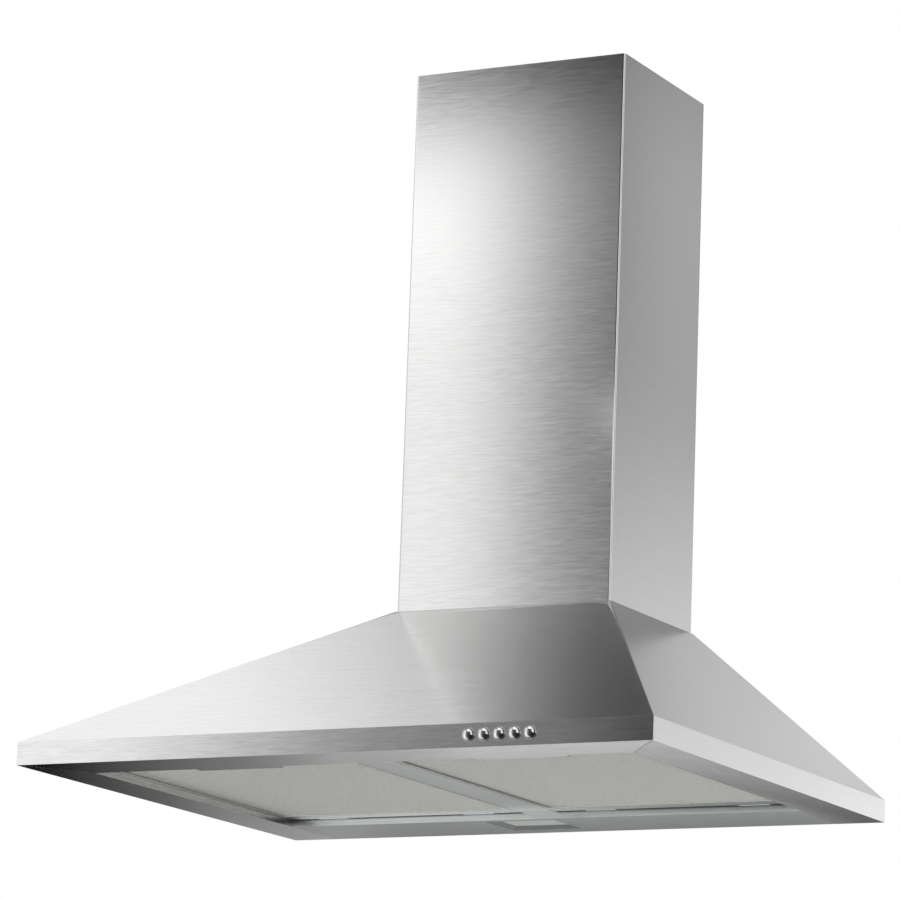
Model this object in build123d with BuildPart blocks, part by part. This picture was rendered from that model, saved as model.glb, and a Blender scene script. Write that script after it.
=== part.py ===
from build123d import *
import os
from math import atan2, cos, degrees, hypot, radians, sin

# A wall-hung chimney range hood, 60 cm wide. X runs right, Y into the wall, Z up, all in millimetres.
# The origin lies on the wall plane, at mid-width, level with the hood's lower edge.

# Canopy: a half pyramid of folded sheet with an upright lip round its foot
canopy_w = 600.0
canopy_d = 500.0
canopy_h = 180.0
lip_h = 20.0
sheet = 0.8
front_flange = 58.0
side_flange = 44.0
upstand_h = 10.0
ledge_w = 22.0
ledge_step = 1.5
mitre_gap = 0.4

# Chimney: two nested covers, the inner one slides up to the ceiling
chimney_w = 213.0
chimney_d = 178.0
chimney_top = 686.0
chimney_bend = 1.6
chimney_flange = 12.0
slip = 0.5
inner_chimney_l = 490.0
vent_l = 34.0
vent_w = 4.0
vent_pitch = 11.0
vent_rows = 4
vent_drop = 40.0

# Wall fixings
hang_plate_w = 220.0
hang_plate_h = 50.0
hang_plate_t = 1.5
hang_plate_corner = 4.0
hang_spacing = 160.0
hang_drop = 40.0
keyhole_r = 6.0
keyhole_slot_r = 2.75
keyhole_rise = 12.0
safety_spacing = 400.0
safety_z = 45.0
safety_hole_r = 3.0
bracket_drop = 50.0
bracket_h = 40.0
bracket_t = 1.5
bracket_offset = 10.0
bracket_ear_l = 26.0
bracket_spacing = 120.0
bracket_hole_r = 3.0

# Lamp panel: the fixed tray behind the filters
panel_d = 88.0
panel_gap = 0.3
hinge_z = 7.5
bead_r = 1.5
bead_l = 30.0

# Grease filters: two aluminium cassettes side by side
divider_w = 34.0
divider_h = 8.0
filter_z = 6.0
filter_t = 10.0
filter_gap = 0.6
filter_front_gap = 1.0
filter_rear_gap = 5.0
frame_t = 1.0
frame_lip = 4.0
rear_lip = 20.0
drain_pitch = 7.0
drain_l = 4.0
drain_w = 1.6
drain_inset = 17.0
mesh_gap = 0.1
mesh_t = 0.5
crimp_pitch = 14.0
hook_w = 14.0
hook_t = 1.0
hook_gap = 0.3
hook_leg = 5.5
hook_spacing = 150.0

# Filter latch: a sprung tongue with a finger grip in the filter's face
latch_w = 82.0
latch_l = 44.0
grip_slot_w = 40.0
grip_slot_l = 16.0
grip_slot_inset = 17.0
grip_slot_corner = 1.5
grip_w = 38.0
grip_l = 6.2
grip_groove_r = 1.0
latch_out = 4.0
latch_back = 5.0
latch_clear = 0.2
slider_w = 56.0
slider_l = 25.0
slider_t = 1.5
tongue_w = 26.0
tongue_t = 1.5
guide_w = 76.0
guide_l = 43.2
guide_wall = 2.0
spring_w = 16.0
spring_t = 0.8
spring_h = 1.6
spring_waves = 5

# Push buttons, their bezels and the switch block behind the lip
button_x = 162.0
button_z = 10.5
button_pitch = 14.0
button_count = 5
button_r = 4.5
button_out = 4.0
button_dome = 1.6
button_skirt = 3.0
button_travel = 3.5
stem_r = 3.0
stem_l = 12.0
bezel_r = 5.8
bezel_wall = 0.5
bezel_out = 0.8
button_clear = 0.3
switch_w = 90.0
switch_h = 16.4
switch_d = 24.0
switch_edge = 1.0
blade_terminal_w = 0.8
blade_terminal_h = 3.0
blade_terminal_l = 6.0
cradle_t = 1.0

# Lamp
lamp_x = -24.0
lamp_y = -51.0
lamp_w = 70.0
lamp_d = 60.0
lamp_bevel = 2.5
lamp_rim = 6.0
lamp_flange = 2.0
lens_t = 2.0
lamp_box_h = 22.0
lamp_box_taper = 4.0
led_board_t = 1.6
led_w = 5.0
led_h = 1.2
led_columns = 4
led_rows = 2
led_pitch = 12.0

# Blower box on the canopy's ledge, inside the chimney covers, and the duct collar on its top
box_side_gap = 4.4
box_front_gap = 3.9
box_back = 6.0
box_h = 240.0
box_flange = 14.0
collar_r = 75.0
collar_wall = 1.8
collar_h = 50.0
collar_flange = 5.0
collar_flange_t = 2.0
collar_ear_r = 6.0
collar_ear_angle = 60.0
duct_room = 3.0
flap_z = 20.0
flap_t = 1.2
flap_gap = 1.7
flap_pin_r = 2.0
flap_barrel_r = 3.4
flap_barrel_l = 20.0
flap_barrel_gap = 5.0

# Blower: a double-inlet wheel of forward-curved blades in a scroll casing
wheel_z = 290.0
wheel_r = 54.0
wheel_inner_r = 44.0
wheel_l = 80.0
blade_count = 28
blade_t = 1.0
blade_bow = 1.6
blade_lead = 7.0
wheel_ring_t = 2.0
wheel_ring_w = 5.0
hub_r = 9.0
hub_l = 24.0
scroll_gap = 6.0
scroll_step = 6.5
scroll_wall = 2.0
scroll_side_gap = 2.7
scroll_end_gap = 4.0
outlet_w = 78.0
tongue_bend = 4.0
inlet_r = 42.0
inlet_lip = 5.0
neck_flange = 8.0
ear_r = 5.0
ear_t = 6.0
ear_gap = 4.0

# Motor
motor_r = 32.0
motor_l = 54.0
motor_set_back = 23.0
motor_boss_r = 12.0
motor_boss_l = 4.0
motor_edge = 4.0
motor_slot_count = 8
motor_slot_l = 12.0
motor_slot_w = 3.0
motor_slot_depth = 4.0
shaft_r = 4.0
shaft_bore_gap = 1.0
bush_r = 8.0
bush_l = 8.0
run_gap = 0.05
spider_band = 4.0
spider_band_l = 10.0
spider_arm_w = 9.0
spider_arm_count = 3
spider_turn = 10.0
spider_t = 3.0
spider_gap = 0.5
spider_hole_r = 57.0
spider_foot_r = 5.0

# Electrical parts under the box's top
capacitor_side_gap = 11.0
capacitor_r = 15.0
capacitor_l = 58.0
capacitor_inset = 14.0
capacitor_edge = 1.0
tab_w = 6.0
tab_t = 0.8
tab_l = 8.0
clip_t = 1.2
clip_w = 14.0
clip_foot_w = 28.0
terminal_w = 46.0
terminal_d = 56.0
terminal_h = 40.0
terminal_wall = 1.6
terminal_gap = 0.4
terminal_inset = 17.0
terminal_lid_t = 2.0
strip_w = 14.0
strip_l = 34.0
strip_h = 12.0
strip_pitch = 10.0
strip_hole_r = 2.0
strip_hole_l = 5.0
gland_r = 7.5
gland_right = 12.2
gland_back = 14.0
gland_hex_h = 6.0
gland_cap_h = 10.0
gland_cap_r = 6.8
gland_thread_r = 5.5
gland_thread_l = 8.0
gland_body_bore_r = 4.4
gland_bore_r = 4.0
gland_nut_h = 4.0

# Screws
screw_r = 1.9
screw_head_r = 3.6
screw_head_h = 2.0
screw_clear = 0.2
screw_l = 6.0

# Places that follow from the sizes above
opening_x = canopy_w / 2 - side_flange
opening_front = canopy_d - front_flange
top_w = chimney_w + 2 * ledge_step
top_d = chimney_d + ledge_step
inner_w = chimney_w - 2 * (sheet + slip)
inner_d = chimney_d - sheet - slip
bracket_z = canopy_h + inner_chimney_l - bracket_drop
hang_z = canopy_h - hang_drop
box_w = inner_w - 2 * (sheet + box_side_gap)
box_front = inner_d - sheet - box_front_gap
box_d = box_front - box_back
box_y = -(box_front + box_back) / 2
box_top = canopy_h + box_h
hinge_y = -panel_d
filter_w = opening_x - divider_w / 2 - 2 * filter_gap
filter_x = (opening_x + divider_w / 2) / 2
filter_front = opening_front - filter_front_gap
filter_back = panel_d + filter_rear_gap
filter_l = filter_front - filter_back
filter_y = -(filter_front + filter_back) / 2
foot_back = (Align.CENTER, Align.MAX)

os.makedirs("parts", exist_ok=True)


def save(piece, name):
    piece.label = name
    export_step(piece, f"parts/{name}.step")


def corners(centre, width, depth):
    """The four corners of a rectangle about a centre."""
    x, y = centre
    return [(x + i * width / 2, y + j * depth / 2) for i in (-1, 1) for j in (-1, 1)]


def polar(centre, reach, angle):
    """The point at a distance and an angle in degrees from a centre."""
    return (centre[0] + reach * cos(radians(angle)), centre[1] + reach * sin(radians(angle)))


def pan_screws(plane, spots, length=screw_l):
    """Pan-head screws whose heads stand on the plane at the given spots."""
    with BuildPart() as screws:
        with BuildSketch(plane):
            with Locations(*spots):
                Circle(screw_head_r)
        extrude(amount=screw_head_h, taper=12)
        with BuildSketch(plane):
            with Locations(*spots):
                Circle(screw_r)
        extrude(amount=-length)
    return screws.part


# ---- Canopy ----
# The pyramid is one closed form, hollowed to sheet thickness, then opened at the top and at the foot.
button_spots = [
    (button_x + (i - (button_count - 1) / 2) * button_pitch, button_z) for i in range(button_count)
]
box_screw_spots = corners((0, box_y), box_w - box_flange, box_d - box_flange)

with BuildPart() as canopy:
    with BuildSketch(Plane.XY):
        Rectangle(canopy_w, canopy_d, align=foot_back)
    extrude(amount=lip_h)
    with BuildSketch(Plane.XY.offset(lip_h)):
        Rectangle(canopy_w, canopy_d, align=foot_back)
    with BuildSketch(Plane.XY.offset(canopy_h)):
        Rectangle(top_w, top_d, align=foot_back)
    loft()
    offset(amount=-sheet, mode=Mode.SUBTRACT)
    # window in the top, leaving the ledge that carries the chimney and the blower box
    with BuildSketch(Plane.XY.offset(canopy_h)):
        with Locations((0, -top_d / 2)):
            Rectangle(top_w - 2 * ledge_w, top_d - 2 * ledge_w)
    extrude(amount=-2 * sheet, mode=Mode.SUBTRACT)
    # opening in the foot, with an upstand round its front and sides
    with BuildSketch(Plane.XY):
        with Locations((0, -sheet)):
            Rectangle(2 * opening_x, opening_front - sheet, align=foot_back)
    extrude(amount=sheet, mode=Mode.SUBTRACT)
    with BuildSketch(Plane.XY):
        with Locations((0, -sheet)):
            Rectangle(2 * (opening_x + sheet), opening_front, align=foot_back)
            Rectangle(2 * opening_x, opening_front - sheet, align=foot_back, mode=Mode.SUBTRACT)
    extrude(amount=upstand_h)
    # the folded flanges meet in a mitre at each front corner
    for side in (-1, 1):
        run_x = side_flange - 2 * sheet
        run_y = front_flange - 2 * sheet
        with BuildSketch(Plane.XY):
            with Locations((side * (canopy_w - side_flange) / 2, front_flange / 2 - canopy_d)):
                Rectangle(hypot(run_x, run_y), mitre_gap, rotation=degrees(atan2(run_y, -side * run_x)))
        extrude(amount=sheet, mode=Mode.SUBTRACT)
    # holes for the button bezels in the front of the lip
    with BuildSketch(Plane.XZ.offset(canopy_d)):
        with Locations(*button_spots):
            Circle(button_r + button_clear + bezel_wall)
    extrude(amount=-sheet, mode=Mode.SUBTRACT)
    # wall side: windows over the hanging plate's keyholes, and two plain holes low down
    with BuildSketch(Plane.XZ):
        with Locations((0, hang_z)):
            with GridLocations(hang_spacing, 0, 2, 1):
                Rectangle(3 * keyhole_r, 5 * keyhole_r)
        with Locations((0, safety_z)):
            with GridLocations(safety_spacing, 0, 2, 1):
                Circle(safety_hole_r)
    extrude(amount=sheet, mode=Mode.SUBTRACT)
    # screw holes in the ledge
    with BuildSketch(Plane.XY.offset(canopy_h)):
        with Locations(*box_screw_spots):
            Circle(screw_r + screw_clear)
    extrude(amount=-sheet, mode=Mode.SUBTRACT)
save(canopy.part, "canopy")

# Thicker strip inside the wall face, with the two keyholes that hang the hood on its wall screws
with BuildPart() as hanging_plate:
    with BuildSketch(Plane.XZ.offset(sheet)):
        with Locations((0, hang_z)):
            RectangleRounded(hang_plate_w, hang_plate_h, hang_plate_corner)
            with GridLocations(hang_spacing, 0, 2, 1):
                SlotCenterToCenter(keyhole_rise, 2 * keyhole_slot_r, rotation=90, mode=Mode.SUBTRACT)
        with Locations((0, hang_z - keyhole_rise / 2)):
            with GridLocations(hang_spacing, 0, 2, 1):
                Circle(keyhole_r, mode=Mode.SUBTRACT)
    extrude(amount=hang_plate_t)
save(hanging_plate.part, "hanging_plate")


# ---- Chimney covers ----
def chimney_cover(width, depth, wall_gap, length):
    """One sheet folded to a U that stands on the canopy, with a return flange along the wall."""
    x_side = (width - sheet) / 2
    x_flange = width / 2 - chimney_flange
    y_wall = -wall_gap - sheet / 2
    y_front = -depth + sheet / 2
    with BuildPart() as cover:
        with BuildSketch(Plane.XY.offset(canopy_h)):
            with BuildLine():
                FilletPolyline(
                    (-x_flange, y_wall),
                    (-x_side, y_wall),
                    (-x_side, y_front),
                    (x_side, y_front),
                    (x_side, y_wall),
                    (x_flange, y_wall),
                    radius=chimney_bend,
                )
            trace(line_width=sheet)
        extrude(amount=length)
    return cover.part


outer_chimney = chimney_cover(chimney_w, chimney_d, 0, chimney_top - canopy_h)
save(outer_chimney, "outer_chimney")

with BuildPart() as inner_chimney:
    add(chimney_cover(inner_w, inner_d, sheet + slip, inner_chimney_l))
    # vent slots near the top of both sides, for use without a duct
    with BuildSketch(Plane.YZ.offset(-inner_w / 2)):
        with Locations((-chimney_d / 2, canopy_h + inner_chimney_l - vent_drop)):
            with GridLocations(vent_l + vent_pitch, vent_pitch, 2, vent_rows):
                SlotOverall(vent_l, vent_w)
    extrude(amount=inner_w, mode=Mode.SUBTRACT)
save(inner_chimney.part, "inner_chimney")

# Wall bracket near the covers' top: flat on the wall, with ears against the inner cover's sides
ear_x = inner_w / 2 - sheet - bracket_t / 2
neck_x = inner_w / 2 - chimney_flange - bracket_t
neck_y = -(2 * sheet + slip + bracket_offset)

with BuildPart() as wall_bracket:
    with BuildSketch(Plane.XY.offset(bracket_z - bracket_h / 2)):
        with BuildLine():
            FilletPolyline(
                (-ear_x, neck_y - bracket_ear_l),
                (-ear_x, neck_y),
                (-neck_x, neck_y),
                (-neck_x, -bracket_t / 2),
                (neck_x, -bracket_t / 2),
                (neck_x, neck_y),
                (ear_x, neck_y),
                (ear_x, neck_y - bracket_ear_l),
                radius=bracket_t,
            )
        trace(line_width=bracket_t)
    extrude(amount=bracket_h)
    with BuildSketch(Plane.XZ):
        with Locations((0, bracket_z)):
            with GridLocations(bracket_spacing, 0, 2, 1):
                Circle(bracket_hole_r)
    extrude(amount=bracket_t, mode=Mode.SUBTRACT)
save(wall_bracket.part, "wall_bracket")

# ---- Lamp panel and filter divider ----
# The panel is a shallow tray between the side flanges. Beads on its front wall carry the filter hooks.
hook_xs = [side * filter_x + end * hook_spacing / 2 for side in (-1, 1) for end in (-1, 1)]

with BuildPart() as lamp_panel:
    with BuildSketch(Plane.XY):
        with Locations((0, -sheet)):
            Rectangle(2 * (opening_x - panel_gap), panel_d - sheet / 2, align=foot_back)
    extrude(amount=hinge_z)
    offset(amount=-sheet, openings=lamp_panel.faces().sort_by(Axis.Z)[-1])
    for x in hook_xs:
        with BuildSketch(Plane.YZ.offset(x - bead_l / 2)):
            with Locations((hinge_y, hinge_z)):
                Circle(bead_r)
        extrude(amount=bead_l)
    with BuildSketch(Plane.XY):
        with Locations((lamp_x, lamp_y)):
            Rectangle(lamp_w, lamp_d)
    extrude(amount=sheet, mode=Mode.SUBTRACT)
save(lamp_panel.part, "lamp_panel")

# Bar between the two filters, folded to a tray, its face level with theirs
with BuildPart() as filter_divider:
    with BuildSketch(Plane.XY.offset(filter_z)):
        with Locations((0, -panel_d - sheet / 2)):
            Rectangle(divider_w, opening_front - panel_d - sheet / 2, align=foot_back)
    extrude(amount=divider_h)
    offset(amount=-sheet, openings=filter_divider.faces().sort_by(Axis.Z)[-1])
save(filter_divider.part, "filter_divider")

# ---- Grease filters ----
# Each cassette is a channel frame round a pack of metal mesh, with two hooks behind and a latch in front.
latch_front = filter_front - frame_t
latch_y = latch_l / 2 - latch_front
grip_slot_y = grip_slot_inset + grip_slot_l / 2 - filter_front
grip_y = grip_slot_y + (latch_out - latch_back) / 2
slider_z = filter_z + frame_t + latch_clear
tongue_z = upstand_h + 2 * latch_clear
web_front = slider_l / 2 - grip_y


def filter_frame(side):
    x = side * filter_x
    inner_l = filter_l - frame_lip - rear_lip
    drains = int((filter_w - 2 * frame_lip) // drain_pitch)
    with BuildPart() as frame:
        with BuildSketch(Plane.XY.offset(filter_z)):
            with Locations((x, filter_y)):
                RectangleRounded(filter_w, filter_l, 2 * frame_t)
        extrude(amount=filter_t)
        # channel round the inside
        with BuildSketch(Plane.XY.offset(filter_z + frame_t)):
            with Locations((x, filter_y)):
                RectangleRounded(filter_w - 2 * frame_t, filter_l - 2 * frame_t, frame_t)
        extrude(amount=filter_t - 2 * frame_t, mode=Mode.SUBTRACT)
        with BuildSketch(Plane.XY.offset(filter_z)):
            with Locations((x, -filter_front + frame_lip + inner_l / 2)):
                Rectangle(filter_w - 2 * frame_lip, inner_l)
        extrude(amount=filter_t, mode=Mode.SUBTRACT)
        # the latch plate lies in a notch of the lower lip, and the tongue passes through the front wall
        with BuildSketch(Plane.XY.offset(filter_z)):
            with Locations((x, latch_y)):
                Rectangle(latch_w + 2 * latch_clear, latch_l)
        extrude(amount=frame_t, mode=Mode.SUBTRACT)
        with BuildSketch(Plane.XZ.offset(filter_front)):
            with Locations((x, tongue_z + tongue_t / 2)):
                Rectangle(tongue_w + 4 * latch_clear, tongue_t + 4 * latch_clear)
        extrude(amount=-frame_t, mode=Mode.SUBTRACT)
        # a row of drain slots along the rear lip
        with BuildSketch(Plane.XY.offset(filter_z)):
            with Locations((x, -filter_back - drain_inset)):
                with GridLocations(drain_pitch, 0, drains, 1):
                    Rectangle(drain_l, drain_w)
        extrude(amount=frame_t, mode=Mode.SUBTRACT)
    return frame.part


def filter_mesh(side):
    """The grease trap: two face sheets of expanded metal with a crimped sheet between them."""
    x = side * filter_x
    inset = frame_t + mesh_gap
    pack_w = filter_w - 2 * inset
    pack_l = filter_l - 2 * inset
    low = filter_z + inset
    high = filter_z + filter_t - inset
    folds = 2 * int(pack_l // crimp_pitch)
    run = pack_l - 2 * frame_t - mesh_t
    crimp = [
        (filter_y - run / 2 + run * i / folds, high - mesh_t if i % 2 else low + mesh_t)
        for i in range(folds + 1)
    ]
    with BuildPart() as mesh:
        for z in (low, high - mesh_t):
            with BuildSketch(Plane.XY.offset(z)):
                with Locations((x, filter_y)):
                    RectangleRounded(pack_w, pack_l, frame_t)
            extrude(amount=mesh_t)
        with BuildSketch(Plane.YZ.offset(x - pack_w / 2 + frame_t)):
            with BuildLine():
                Polyline(*crimp)
            trace(line_width=mesh_t)
        extrude(amount=pack_w - 2 * frame_t)
        with BuildSketch(Plane.XY.offset(low)):
            with Locations((x, latch_y)):
                Rectangle(latch_w + 2 * latch_clear, latch_l + 2 * latch_clear)
        extrude(amount=high - low, mode=Mode.SUBTRACT)
    return mesh.part


def filter_hooks(side):
    """Two spring strips on the frame's rear wall, curled over the tray's beads."""
    curl_r = bead_r + hook_gap + hook_t / 2
    leg_y = hook_t / 2 - filter_rear_gap
    with BuildPart() as hooks:
        for hook_x in hook_xs:
            if hook_x * side > 0:
                with BuildSketch(Plane((hook_x - hook_w / 2, hinge_y, hinge_z), (0, 1, 0), (1, 0, 0))):
                    with BuildLine():
                        FilletPolyline(
                            (leg_y, curl_r + hook_leg),
                            (leg_y, curl_r),
                            (0, curl_r),
                            radius=hook_t,
                        )
                        CenterArc((0, 0), curl_r, 90, -120)
                    trace(line_width=hook_t)
                extrude(amount=hook_w)
    return hooks.part


def latch_plate(side):
    with BuildPart() as plate:
        with BuildSketch(Plane.XY.offset(filter_z)):
            with Locations((side * filter_x, latch_y)):
                Rectangle(latch_w, latch_l)
            with Locations((side * filter_x, grip_slot_y)):
                RectangleRounded(grip_slot_w, grip_slot_l, grip_slot_corner, mode=Mode.SUBTRACT)
        extrude(amount=frame_t)
    return plate.part


def latch_guide(side):
    """Moulded cover over the slider, open towards the plate and at the tongue."""
    x = side * filter_x
    base = filter_z + frame_t
    height = filter_t - 2 * frame_t - mesh_gap
    with BuildPart() as guide:
        with BuildSketch(Plane.XY.offset(base)):
            with Locations((x, guide_l / 2 - latch_front)):
                RectangleRounded(guide_w, guide_l, guide_wall)
        extrude(amount=height)
        with BuildSketch(Plane.XY.offset(base)):
            with Locations((x, guide_l / 2 - latch_front)):
                Rectangle(slider_w + 2 * latch_clear, guide_l - 2 * guide_wall)
        extrude(amount=height - guide_wall, mode=Mode.SUBTRACT)
        with BuildSketch(Plane.XZ.offset(latch_front)):
            with Locations((x, tongue_z + tongue_t / 2)):
                Rectangle(tongue_w + 4 * latch_clear, tongue_t + 4 * latch_clear)
        extrude(amount=-guide_wall, mode=Mode.SUBTRACT)
    return guide.part


def latch_slider(side):
    """Plate behind the slot, with a grooved grip below, a web above and a tongue forwards."""
    x = side * filter_x
    tongue_l = filter_front + latch_clear - web_front
    with BuildPart() as slider:
        with BuildSketch(Plane.XY.offset(slider_z)):
            with Locations((x, grip_y)):
                Rectangle(slider_w, slider_l)
        extrude(amount=slider_t)
        with BuildSketch(Plane.XY.offset(slider_z + slider_t)):
            with Locations((x, slider_t / 2 - web_front)):
                Rectangle(tongue_w, slider_t)
        extrude(amount=tongue_z + tongue_t - slider_z - slider_t)
        with BuildSketch(Plane.YZ.offset(x - tongue_w / 2)):
            with BuildLine():
                Polyline(
                    (-web_front, tongue_z),
                    (-web_front - tongue_l + tongue_t / 2, tongue_z),
                    (-web_front - tongue_l, tongue_z + tongue_t / 2),
                    (-web_front - tongue_l, tongue_z + tongue_t),
                    (-web_front, tongue_z + tongue_t),
                    close=True,
                )
            make_face()
        extrude(amount=tongue_w)
        with BuildSketch(Plane.XY.offset(filter_z + latch_clear)):
            with Locations((x, grip_y)):
                Rectangle(grip_w, grip_l)
        extrude(amount=slider_z - filter_z - latch_clear)
        with BuildSketch(Plane.YZ.offset(x - grip_w / 2)):
            with Locations((grip_y, filter_z + latch_clear)):
                Circle(grip_groove_r)
        extrude(amount=grip_w, mode=Mode.SUBTRACT)
    return slider.part


def latch_spring(side):
    """Flat serpentine spring from the slider's web to the guide's rear wall."""
    front = slider_t + spring_t / 2 - web_front
    back = guide_l - guide_wall - latch_front - spring_t / 2
    step = (back - front) / (2 * spring_waves)
    points = []
    for i in range(2 * spring_waves + 1):
        reach = spring_w / 2 * (-1) ** i
        points.append((side * filter_x - reach, front + i * step))
        points.append((side * filter_x + reach, front + i * step))
    with BuildPart() as spring:
        with BuildSketch(Plane.XY.offset(tongue_z)):
            with BuildLine():
                FilletPolyline(*points, radius=step * 0.45)
            trace(line_width=spring_t)
        extrude(amount=spring_h)
    return spring.part


for side, name in ((-1, "left"), (1, "right")):
    save(filter_frame(side), f"{name}_filter_frame")
    save(filter_mesh(side), f"{name}_filter_mesh")
    save(filter_hooks(side), f"{name}_filter_hooks")
    save(latch_plate(side), f"{name}_latch_plate")
    save(latch_guide(side), f"{name}_latch_guide")
    save(latch_slider(side), f"{name}_latch_slider")
    save(latch_spring(side), f"{name}_latch_spring")

# ---- Push buttons ----
# Five domed buttons in ring bezels; their stems run in a switch block behind the lip.
button_names = [f"{use}_button" for use in ("light", "stop", "low_speed", "mid_speed", "high_speed")]


def button(spot):
    """A revolved cap and stem. The sketch's Y runs into the hood along the button's axis."""
    x, z = spot
    with BuildPart() as cap:
        with BuildSketch(Plane((x, -canopy_d, z))):
            with BuildLine():
                TangentArc((0, -button_out), (button_r, button_dome - button_out), tangent=(1, 0))
                Polyline(
                    (button_r, button_dome - button_out),
                    (button_r, button_skirt),
                    (stem_r, button_skirt),
                    (stem_r, button_skirt + stem_l),
                    (0, button_skirt + stem_l),
                    (0, -button_out),
                )
            make_face()
        revolve(axis=Axis((x, -canopy_d, z), (0, 1, 0)))
    return cap.part


for name, spot in zip(button_names, button_spots):
    save(button(spot), name)

with BuildPart() as button_bezels:
    with BuildSketch(Plane.XZ.offset(canopy_d)):
        with Locations(*button_spots):
            Circle(bezel_r)
            Circle(button_r + button_clear, mode=Mode.SUBTRACT)
    extrude(amount=bezel_out)
    fillet(button_bezels.faces().sort_by(Axis.Y)[:button_count].edges(), bezel_out / 3)
    with BuildSketch(Plane.XZ.offset(canopy_d)):
        with Locations(*button_spots):
            Circle(button_r + button_clear + bezel_wall)
            Circle(button_r + button_clear, mode=Mode.SUBTRACT)
    extrude(amount=-sheet)
save(button_bezels.part, "button_bezels")

block_face = Plane.XZ.offset(canopy_d - sheet)
block_z = sheet + cradle_t + switch_h / 2

cradle_end = switch_w / 2 + cradle_t
block_y = sheet + switch_d / 2 - canopy_d
block_ends = [
    Plane((button_x + side * cradle_end, block_y, block_z), (0, 1, 0), (side, 0, 0)) for side in (-1, 1)
]

with BuildPart() as switch_block:
    with BuildSketch(block_face):
        with Locations((button_x, block_z)):
            RectangleRounded(switch_w, switch_h, switch_edge)
    extrude(amount=-switch_d)
    # each button's skirt and stem run in a stepped bore
    with BuildSketch(block_face):
        with Locations(*button_spots):
            Circle(button_r + 2 * button_clear)
    extrude(amount=-(button_skirt + button_travel), mode=Mode.SUBTRACT)
    with BuildSketch(block_face):
        with Locations(*button_spots):
            Circle(stem_r + button_clear / 2)
    extrude(amount=-(button_skirt + button_travel + stem_l), mode=Mode.SUBTRACT)
    with BuildSketch(Plane.XZ.offset(canopy_d - sheet - switch_d)):
        with Locations((button_x, block_z)):
            with GridLocations(button_pitch / 2, 2 * blade_terminal_h, 2 * button_count, 2):
                Rectangle(blade_terminal_w, blade_terminal_h)
    extrude(amount=-blade_terminal_l)
    for plane in block_ends:
        with BuildSketch(plane):
            Circle(screw_r + screw_clear)
        extrude(amount=-screw_l - screw_clear, mode=Mode.SUBTRACT)
save(switch_block.part, "switch_block")

# U-shaped cradle on the front flange that holds the block at both ends
cradle_x = (switch_w + cradle_t) / 2
with BuildPart() as switch_cradle:
    with BuildSketch(block_face):
        with BuildLine():
            Polyline(
                (button_x - cradle_x, sheet + switch_h),
                (button_x - cradle_x, sheet + cradle_t / 2),
                (button_x + cradle_x, sheet + cradle_t / 2),
                (button_x + cradle_x, sheet + switch_h),
            )
        trace(line_width=cradle_t)
    extrude(amount=-switch_d)
    for plane in block_ends:
        with BuildSketch(plane):
            Circle(screw_r + screw_clear)
        extrude(amount=-2 * cradle_t, mode=Mode.SUBTRACT)
save(switch_cradle.part, "switch_cradle")

with BuildPart() as switch_screws:
    for plane in block_ends:
        add(pan_screws(plane, [(0, 0)]))
save(switch_screws.part, "switch_screws")

# ---- Lamp ----
# Bevelled bezel in the lamp panel, a diffuser seated in it, and a light box with its LED board above.
lens_z = sheet + lamp_bevel
lamp_base = lens_z + lens_t
board_z = lamp_base + lamp_box_h - sheet

with BuildPart() as lamp_bezel:
    with BuildSketch(Plane.XY):
        with Locations((lamp_x, lamp_y)):
            Rectangle(lamp_w - panel_gap, lamp_d - panel_gap)
    extrude(amount=sheet)
    with BuildSketch(Plane.XY.offset(sheet)):
        with Locations((lamp_x, lamp_y)):
            RectangleRounded(lamp_w + 2 * lamp_flange, lamp_d + 2 * lamp_flange, lamp_flange)
    extrude(amount=lamp_bevel + lens_t)
    # bevelled window
    with BuildSketch(Plane.XY):
        with Locations((lamp_x, lamp_y)):
            Rectangle(lamp_w - 2 * sheet, lamp_d - 2 * sheet)
    with BuildSketch(Plane.XY.offset(lens_z)):
        with Locations((lamp_x, lamp_y)):
            Rectangle(lamp_w - 2 * lamp_rim, lamp_d - 2 * lamp_rim)
    loft(mode=Mode.SUBTRACT)
    # rebate for the lens
    with BuildSketch(Plane.XY.offset(lens_z)):
        with Locations((lamp_x, lamp_y)):
            Rectangle(lamp_w - lamp_rim, lamp_d - lamp_rim)
    extrude(amount=lens_t, mode=Mode.SUBTRACT)
save(lamp_bezel.part, "lamp_bezel")

with BuildPart() as lamp_lens:
    with BuildSketch(Plane.XY.offset(lens_z)):
        with Locations((lamp_x, lamp_y)):
            Rectangle(lamp_w - lamp_rim - panel_gap, lamp_d - lamp_rim - panel_gap)
    extrude(amount=lens_t)
save(lamp_lens.part, "lamp_lens")

with BuildPart() as lamp_housing:
    with BuildSketch(Plane.XY.offset(lamp_base)):
        with Locations((lamp_x, lamp_y)):
            RectangleRounded(lamp_w, lamp_d, lamp_flange)
    extrude(amount=lamp_box_h, taper=lamp_box_taper)
    offset(amount=-sheet, openings=lamp_housing.faces().sort_by(Axis.Z)[0])
save(lamp_housing.part, "lamp_housing")

with BuildPart() as led_board:
    with BuildSketch(Plane.XY.offset(board_z)):
        with Locations((lamp_x, lamp_y)):
            Rectangle(lamp_w - 2 * lamp_rim, lamp_d - 2 * lamp_rim)
    extrude(amount=-led_board_t)
    with BuildSketch(Plane.XY.offset(board_z - led_board_t)):
        with Locations((lamp_x, lamp_y)):
            with GridLocations(led_pitch, led_pitch, led_columns, led_rows):
                Rectangle(led_w, led_w)
    extrude(amount=-led_h)
save(led_board.part, "led_board")

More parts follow.
